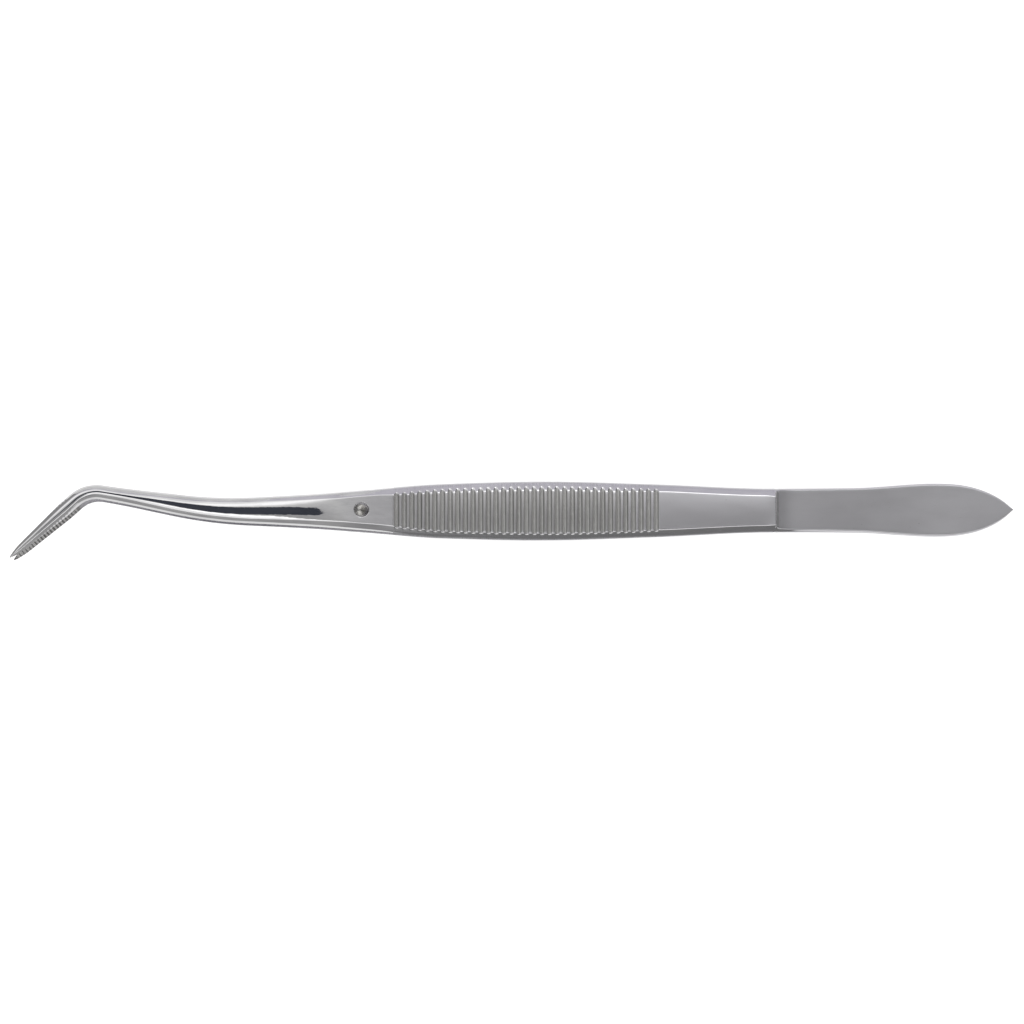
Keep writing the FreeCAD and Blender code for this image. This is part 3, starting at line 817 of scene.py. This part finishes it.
class Finish:
    """The nodes of a material or a world, with one method that makes any of them."""

    def __init__(self, owner):
        owner.use_nodes = True
        self.owner, self.tree = owner, owner.node_tree
        self.tree.nodes.clear()

    def node(self, kind, settings=None, inputs=None, output=0):
        """A node with its settings, then the values or links of its sockets. It gives one of its outputs."""
        made = self.tree.nodes.new(kind)
        for key, value in (settings or {}).items():
            setattr(made, key, value)
        for key, value in (inputs or {}).items():
            if isinstance(value, Value):
                self.tree.links.new(value.socket, used(made.inputs, key))
            else:
                used(made.inputs, key).default_value = value
        return Value(self, used(made.outputs, output))

    def stored(self, name, output="Fac"):
        """A piece's own values of that name."""
        return self.node("ShaderNodeAttribute", {"attribute_name": name}, output=output)

    def between(self, value, low, high, start=0.0, end=1.0):
        """Smooth ramp from start to end while the value goes from low to high."""
        return self.node("ShaderNodeMapRange", {"interpolation_type": "SMOOTHSTEP"},
                         {"Value": value, "From Min": low, "From Max": high, "To Min": start, "To Max": end})

    def stretched(self, vector, x, y, z):
        """A vector times one factor along each axis."""
        return self.node("ShaderNodeVectorMath", {"operation": "MULTIPLY"}, {0: vector, 1: (x, y, z)})

    def along(self, vector, axis):
        """One coordinate of a vector."""
        return self.node("ShaderNodeSeparateXYZ", {}, {0: vector}, axis)

    def noise(self, vector, detail=2.0, roughness=0.5):
        """Noise between 0 and 1 whose patches are one unit of the vector wide."""
        return self.node("ShaderNodeTexNoise", {}, {"Vector": vector, "Scale": 1.0, "Detail": detail,
                                                    "Roughness": roughness})

    def mixed(self, share, first, second):
        """Colour on the way from the first to the second."""
        return self.node("ShaderNodeMix", {"data_type": "RGBA"}, {"Factor": share, "A": first, "B": second},
                         "Result")

    def metal(self, colour, roughness, height, depth):
        """Metal of a colour and roughness, with bumps: a height that varies over it, times their depth."""
        bump = self.node("ShaderNodeBump", {}, {"Strength": 0.5, "Distance": depth, "Height": height})
        return self.output(self.node("ShaderNodeBsdfPrincipled", {}, {
            "Base Color": colour, "Metallic": 1.0, "Roughness": roughness, "Normal": bump}))

    def output(self, shader, kind="ShaderNodeOutputMaterial"):
        """Ends the nodes with the shader and gives back what they belong to."""
        end = self.tree.nodes.new(kind)
        self.tree.links.new(shader.socket, end.inputs["Surface"])
        return self.owner


def material(name):
    """Finish of a new material."""
    return Finish(bpy.data.materials.new(name))


def arm_steel():
    """Stainless steel: satin flats, matte streaked grooves, polished shaft and tips, with painted highlight
    and painted shade on the grooves' two walls and painted shade on the jaw.

    Noise is stretched in waves per metre along the arm, across it and through it.
    """
    finish = material("satin_and_polished_steel")
    lay = finish.stored("lay", "Vector")
    polish, groove, side = finish.stored("polish"), finish.stored("groove"), finish.stored("side")
    worn, jaw = finish.stored("worn"), finish.stored("jaw")
    matte = 1 - polish
    cloud = finish.noise(finish.stretched(lay, 160, 420, 420), 3.0)
    drift = finish.noise(finish.stretched(lay, 180, 700, 700), 3.0, 0.6)
    grain = finish.noise(finish.stretched(lay, 5200, 6400, 6400), 2.0)
    lines = finish.noise(finish.stretched(lay, 260, 9000, 9000), 2.0)
    streaks = finish.noise(finish.stretched(lay, 7000, 260, 2600), 3.0, 0.6)
    mottle = finish.noise(finish.stretched(lay, 1900, 1100, 1500), 3.0, 0.6)
    wave = finish.noise(finish.stretched(lay, 700, 2400, 2400), 2.0)
    uneven = finish.between(finish.noise(finish.stretched(lay, 420, 12, 12), 3.0, 0.7), 0.38, 0.62)

    satin = finish.mixed(finish.between(cloud, 0.3, 0.7), *SATIN)
    bright = finish.mixed(finish.between(drift, 0.35, 0.65), *POLISHED)
    milled = finish.mixed(finish.between(mottle, 0.35, 0.68), *MILLED)
    milled = finish.mixed(finish.between(streaks, 0.45, 0.62) * 0.55, milled, MILLING_STREAK)
    scored = finish.between(side, 0.0, 0.02) * finish.between(streaks, 0.46, 0.62) * 0.45
    # Shares of painted highlight on one wall of each groove and painted shade on the other, uneven from rib
    # to rib
    lit = finish.between(side, 0.42, 0.18) * (0.55 + uneven * 0.4)
    dark = finish.between(side, 0.62, 0.80) * (0.9 - uneven * 0.35)
    colour = finish.mixed(polish, satin, bright)
    colour = finish.mixed(scored * matte, colour, SCORED_LAND)
    colour = finish.mixed(worn * (0.62 + uneven * 0.22), colour, WORN_LAND)
    colour = finish.mixed(groove, colour, milled)
    # Painted highlight and painted shade on the grooves' walls
    colour = finish.mixed(groove * lit, colour, PAINTED_HIGHLIGHT_WALL)
    colour = finish.mixed(groove * dark, colour, PAINTED_SHADE_WALL)
    # Painted shade darkening the jaw face
    colour = finish.mixed(jaw * 0.85, colour, PAINTED_SHADE_JAW)

    rough = 0.04 + matte * matte * 0.25 + groove * 0.14 + (grain - 0.5) * 0.06 * matte
    rough = rough + (streaks - 0.5) * groove * 0.2
    height = (grain - 0.5) * matte * 0.2 + (lines - 0.5) * (1 - groove) * matte * 0.3
    height = height + (streaks - 0.5) * groove * 1.4 + (mottle - 0.5) * groove * 0.5
    height = height + (wave - 0.5) * polish * 0.8
    return finish.metal(colour, rough, height, 0.000012)


def pin_steel():
    """Turned steel: fine rings round the pin's axis, streaks away from it, and painted shade on its +X side.
    """
    finish = material("turned_pin_steel")
    centred = finish.node("ShaderNodeVectorMath", {"operation": "SUBTRACT"},
                          {0: finish.node("ShaderNodeTexCoord", output="Object"),
                           1: ((REST_AT - PIN_AT + HOLE_LEAD) * MM, 0, 0)})
    rings = finish.noise(finish.stretched(centred, 900, 900, 16000), 2.0)
    outward = finish.node("ShaderNodeVectorMath", {"operation": "NORMALIZE"},
                          {0: finish.stretched(centred, 1, 1, 0)})
    streaks = finish.noise(finish.stretched(outward, 7, 7, 7), 2.0, 0.6)
    colour = finish.mixed(finish.between(streaks, 0.4, 0.6), *TURNED)
    # Painted shade darkening the pin towards +X
    colour = finish.mixed(finish.between(finish.along(outward, "X"), -0.2, 0.8) * 0.75, colour, PAINTED_SHADE_SIDE)
    return finish.metal(colour, 0.16 + streaks * 0.2, rings + streaks * 3, 0.00001)


def grey(shade):
    """Neutral colour of a shade."""
    return shade, shade, shade, 1


def polygon(name, corners):
    """Object with one flat face."""
    mesh = bpy.data.meshes.new(name)
    mesh.from_pydata(corners, [], [tuple(range(len(corners)))])
    piece = bpy.data.objects.new(name, mesh)
    bpy.context.scene.collection.objects.link(piece)
    return piece


def rectangle(fixed, value, start, end):
    """Corners of a rectangle on which one axis keeps its value and the other two go from start to end."""
    corners = []
    for pair in ((start[0], start[1]), (end[0], start[1]), (end[0], end[1]), (start[0], end[1])):
        corner = list(pair)
        corner.insert("XYZ".index(fixed), value)
        corners.append(tuple(corner))
    return corners


def level(height, points):
    """Corners of a level polygon."""
    return [(x, y, height) for x, y in points]


def card(name, corners, colour, far_colour=None, axis="Y", span=None):
    """Flat card that shows in reflections only, plain or shaded along an axis over its width or a span."""
    piece = polygon(name, corners)
    finish = material(name + "_card")
    if far_colour:
        start, end = span or (min(c[1] for c in corners), max(c[1] for c in corners))
        along = finish.along(finish.node("ShaderNodeTexCoord", output="Object"), axis)
        colour = finish.mixed(finish.between(along, start, end), colour, far_colour)
    glow = finish.node("ShaderNodeEmission", {}, {"Color": colour, "Strength": 1.0})
    piece.data.materials.append(finish.output(glow))
    piece.visible_camera = False
    piece.visible_diffuse = False
    piece.visible_shadow = False


def softbox(name, centre, size, aim, radiance):
    """Rectangular studio lamp of a given brightness, turned to look at a point."""
    lamp = bpy.data.lights.new(name, "AREA")
    lamp.shape = "RECTANGLE"
    lamp.size, lamp.size_y = size
    lamp.energy = radiance * math.pi * size[0] * size[1]
    piece = bpy.data.objects.new(name, lamp)
    bpy.context.scene.collection.objects.link(piece)
    piece.location = centre
    piece.rotation_euler = (Vector(aim) - Vector(centre)).to_track_quat("-Z", "Y").to_euler()
    piece.visible_glossy = False


def pale_floor():
    """Plain matte floor, lifted towards white by a glow that only the camera sees."""
    floor = polygon("floor", rectangle("Z", 0, (-FLOOR_HALF, -FLOOR_HALF), (FLOOR_HALF, FLOOR_HALF)))
    floor.location.z = -FLOOR_DROP
    finish = material("pale_floor")
    seen = finish.node("ShaderNodeLightPath", output="Is Camera Ray")
    matte = finish.node("ShaderNodeBsdfDiffuse", {}, {"Color": grey(0.78)})
    glow = finish.node("ShaderNodeEmission", {}, {"Color": grey(1), "Strength": seen * FLOOR_GLOW})
    floor.data.materials.append(finish.output(finish.node("ShaderNodeAddShader", {}, {0: matte, 1: glow})))


def pale_room():
    """White world, dimmer for the light that it casts than where it is seen or mirrored."""
    world = bpy.data.worlds.new("pale_room")
    bpy.context.scene.world = world
    finish = Finish(world)
    seen, mirrored_in, through = (finish.node("ShaderNodeLightPath", output=output) for output in (
        "Is Camera Ray", "Is Glossy Ray", "Is Transmission Ray"))
    full = seen.most(mirrored_in).most(through)
    strength = finish.node("ShaderNodeMapRange", {}, {"Value": full, "To Min": ROOM_LIGHT, "To Max": 1.0})
    finish.output(finish.node("ShaderNodeBackground", {}, {"Color": grey(1), "Strength": strength}),
                  "ShaderNodeOutputWorld")


def overhead_cards():
    """Cards that the upward faces show: a dark blade low over the shaft, and the rest at the ceiling.

    The shaft and the front of the grip show those up to SHAFT_END, the rest of the grip and the butt those
    up to GRIP_END, and the step those beyond.
    """
    card("dark_blade", level(BLADE_HEIGHT, [
        (-0.0617, -0.0012), (-0.0621, 0.0020), (-0.0627, 0.0044), (-0.0640, 0.0058), (-0.0676, 0.0076),
        (-0.0703, 0.0084), (-0.0788, 0.0112), (-0.0880, 0.0128), (-0.0950, 0.0110), (-0.1010, 0.0020),
        (-0.1120, -0.0040), (-0.1120, -0.0066), (-0.1010, -0.0046), (-0.0950, -0.0036), (-0.0880, -0.0056),
        (-0.0788, -0.0116), (-0.0703, -0.0092), (-0.0676, -0.0084), (-0.0641, -0.0062), (-0.0630, -0.0055),
        (-0.0623, -0.0042)]), (0.055, 0.06, 0.075, 1))
    for name, start, end, near, far, colour, far_colour in [
            ("shaft_middle", -2.0, SHAFT_END, -0.53, 0.36, grey(0.42), grey(0.62)),
            ("shaft_strip", -2.0, SHAFT_END, -0.80, -0.53, grey(1.55), None),
            ("shaft_near", -2.0, SHAFT_END, -2.20, -0.80, grey(1.10), None),
            ("shaft_far", -2.0, SHAFT_END, 0.36, 0.70, grey(0.62), grey(1.35)),
            ("shaft_beyond", -2.0, SHAFT_END, 0.70, 0.90, grey(1.3), None),
            ("grip_middle", SHAFT_END, GRIP_END, -0.90, 0.00, grey(0.35), grey(0.27)),
            ("grip_far", SHAFT_END, GRIP_END, 0.00, 0.70, grey(0.27), grey(1.3)),
            ("butt_middle", GRIP_END, 2.0, -0.90, 0.00, grey(0.17), None),
            ("butt_far", GRIP_END, 2.0, 0.00, 0.70, grey(0.17), grey(0.9)),
            ("grip_beyond", SHAFT_END, 0.6, 0.70, 1.50, grey(2.1), None),
            ("grip_near", SHAFT_END, 2.0, -1.60, -0.90, grey(1.5), None),
            ("far_corner", 0.6, 2.6, 0.70, 2.60, grey(0.15), None)]:
        card(name, rectangle("Z", CEILING, (start, near), (end, far)), colour, far_colour)


def side_and_floor_cards():
    """Upright cards round the tweezers and level ones on the floor: what walls and chamfers show."""
    card("near_side", rectangle("Y", -1.5, (-2.0, 0.1), (2.0, 0.8)),
         grey(0.40), grey(0.22), "X", (-0.20, 0.02))
    card("far_side", rectangle("Y", 1.7, (-2.0, 0.0), (2.0, CEILING)), (0.655, 0.64, 0.695, 1))
    card("right_side", rectangle("X", 1.9, (-1.7, 0.0), (1.7, CEILING)), grey(0.25))
    card("left_side", rectangle("X", -1.9, (-1.7, 0.0), (1.7, CEILING)), grey(0.55))
    card("near_floor", level(FLOOR_CARD_HEIGHT, [
        (-0.3, -1.5), (-0.16, -1.5), (-0.072, -0.018), (-0.3, -0.018)]), grey(0.40))
    card("grip_near_floor", level(FLOOR_CARD_HEIGHT, [
        (-0.16, -1.5), (0.3, -1.5), (0.3, -0.018), (-0.072, -0.018)]),
        grey(0.39), grey(0.22), "X", (-0.08, -0.015))
    card("grip_near_side", rectangle("Y", -1.49, (-0.3, 0.0), (0.5, 0.3)),
         grey(0.39), grey(0.22), "X", (-0.20, 0.02))
    card("grip_floor", level(FLOOR_CARD_HEIGHT, [
        (-0.064, -0.018), (0.018, -0.018), (0.012, -0.0034), (-0.045, -0.0034)]), grey(0.20))
    card("left_floor", rectangle("Z", FLOOR_CARD_HEIGHT, (-0.5, -0.05), (-0.112, 0.3)), grey(0.30))
    card("floor_glint", rectangle("Z", GLINT_HEIGHT, (-0.13, -0.018), (0.06, 0.018)), grey(0.95))


def studio():
    """Pale floor, white room, a soft lamp on each side and the cards that the steel shows."""
    pale_floor()
    pale_room()
    softbox("lamp_far", (-0.1, 1.15, 1.5), (2.4, 1.1), (-0.03, 0, 0), 1.3)
    softbox("lamp_near", (-0.1, -0.85, 1.5), (2.4, 1.1), (-0.03, 0, 0), 1.2)
    overhead_cards()
    side_and_floor_cards()


def camera():
    """The photograph's view: nearly straight down, a little from the near side."""
    lens = bpy.data.cameras.new("camera")
    lens.lens, lens.sensor_width = CAMERA_LENS, CAMERA_SENSOR
    eye = bpy.data.objects.new("camera", lens)
    bpy.context.scene.collection.objects.link(eye)
    elevation, roll = math.radians(CAMERA_ELEVATION), math.radians(CAMERA_ROLL)
    back = Vector((0, -math.cos(elevation), math.sin(elevation)))
    right = Vector((1, 0, 0))
    up = back.cross(right)
    turned_right = right * math.cos(roll) + up * math.sin(roll)
    turned_up = up * math.cos(roll) - right * math.sin(roll)
    eye.matrix_world = Matrix.Translation(Vector(CAMERA_TARGET) + back * CAMERA_DISTANCE) @ Matrix(
        (turned_right, turned_up, back)).transposed().to_4x4()
    bpy.context.scene.camera = eye


def tweezers():
    """Both arms and the pin, each in place of its node."""
    shank, head = PIN_DIAMETER / 2, RIVET_DIAMETER / 2
    running = shank + HOLE_CLEARANCE
    rim = running + HOLE_EDGE + HOLE_RIM
    lip = [(running + edge * HOLE_EDGE, share) for share, edge in HOLE_LIP]
    run_bore = lip + [(running, 0.5)] + [(radius, 1 - share) for radius, share in reversed(lip)]
    seat_bore = [(head, SEAT_LOOP)] + [(shank, share) for share in SHANK_LOOPS]
    lower = arm_object("forged_lower_arm", (head, head, shank + RIVET_EDGE, seat_bore), 0.0, False)
    upper = arm_object("forged_upper_arm", (rim, rim, rim, run_bore), UPPER_PATTERN_SHIFT, True)
    pin = guide_pin()
    steel = arm_steel()
    for piece in (lower, upper):
        piece.data.materials.append(steel)
    pin.data.materials.append(pin_steel())
    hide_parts("lower_arm")
    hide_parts("upper_arm")
    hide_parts("guide_pin")
    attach(lower, "lower_arm")
    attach(pin, "lower_arm")
    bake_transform(upper)


tweezers()
studio()
camera()
bpy.context.scene.view_settings.view_transform = "Standard"
